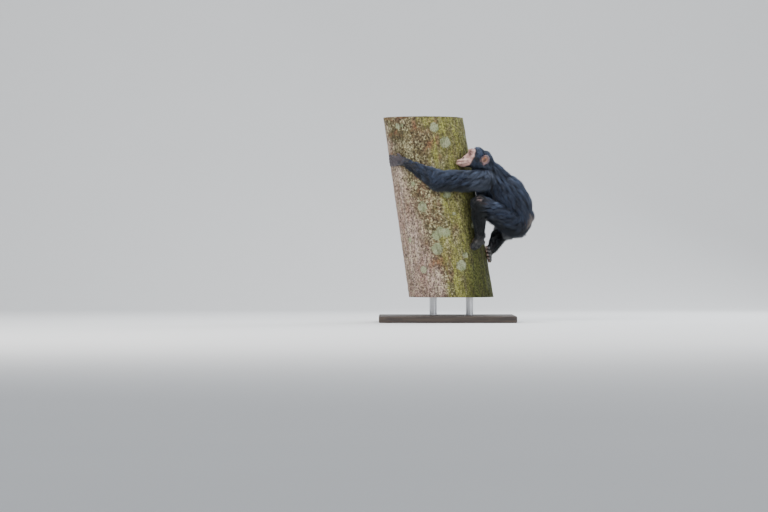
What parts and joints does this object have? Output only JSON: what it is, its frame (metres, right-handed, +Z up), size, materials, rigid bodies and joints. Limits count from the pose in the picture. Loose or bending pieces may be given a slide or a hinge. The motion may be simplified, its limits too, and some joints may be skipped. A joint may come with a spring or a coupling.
{
  "type": "young chimpanzee clinging to a tree trunk, still model",
  "caption": "Life-size still model of a young chimpanzee that clings to the side of a leaning tree trunk, the cut trunk held on a plain flat stand with short rods.",
  "frame": {"origin": "middle of the stand base's underside, on the floor", "axes": "+Z up; the animal faces -X round the trunk, its left side towards -Y"},
  "size_m": [0.6869, 0.4963, 0.898],
  "materials": {
    "coat": "coarse blue-black hair, matt with a soft sheen along the lie",
    "face_skin": "bare pale pink skin of the face",
    "ear_skin": "bare mauve-pink skin, darker in the cup",
    "dark_skin": "dark grey-brown skin of hands and feet, paler on the soles",
    "eye": "dark brown glass-like eye",
    "bark": "rough pinkish-brown bark with pale lichen and moss",
    "stand_metal": "dark brushed steel rods",
    "stand_board": "flat dark painted board with eased edges"
  },
  "bodies": {
    "root": {"neck": "coat", "torso": "coat", "left_upper_arm": "coat", "left_forearm": "coat", "left_thigh": "coat", "left_shank": "coat", "left_hand": "dark_skin", "left_foot": "dark_skin", "left_ear": "ear_skin", "left_eye": "eye", "right_upper_arm": "coat", "right_forearm": "coat", "right_thigh": "coat", "right_shank": "coat", "right_hand": "dark_skin", "right_foot": "dark_skin", "right_ear": "ear_skin", "right_eye": "eye", "head": "face_skin", "perch_trunk": "bark", "stand_base": "stand_board", "stand_rod_1": "stand_metal", "stand_rod_2": "stand_metal"}
  },
  "joints": []
}
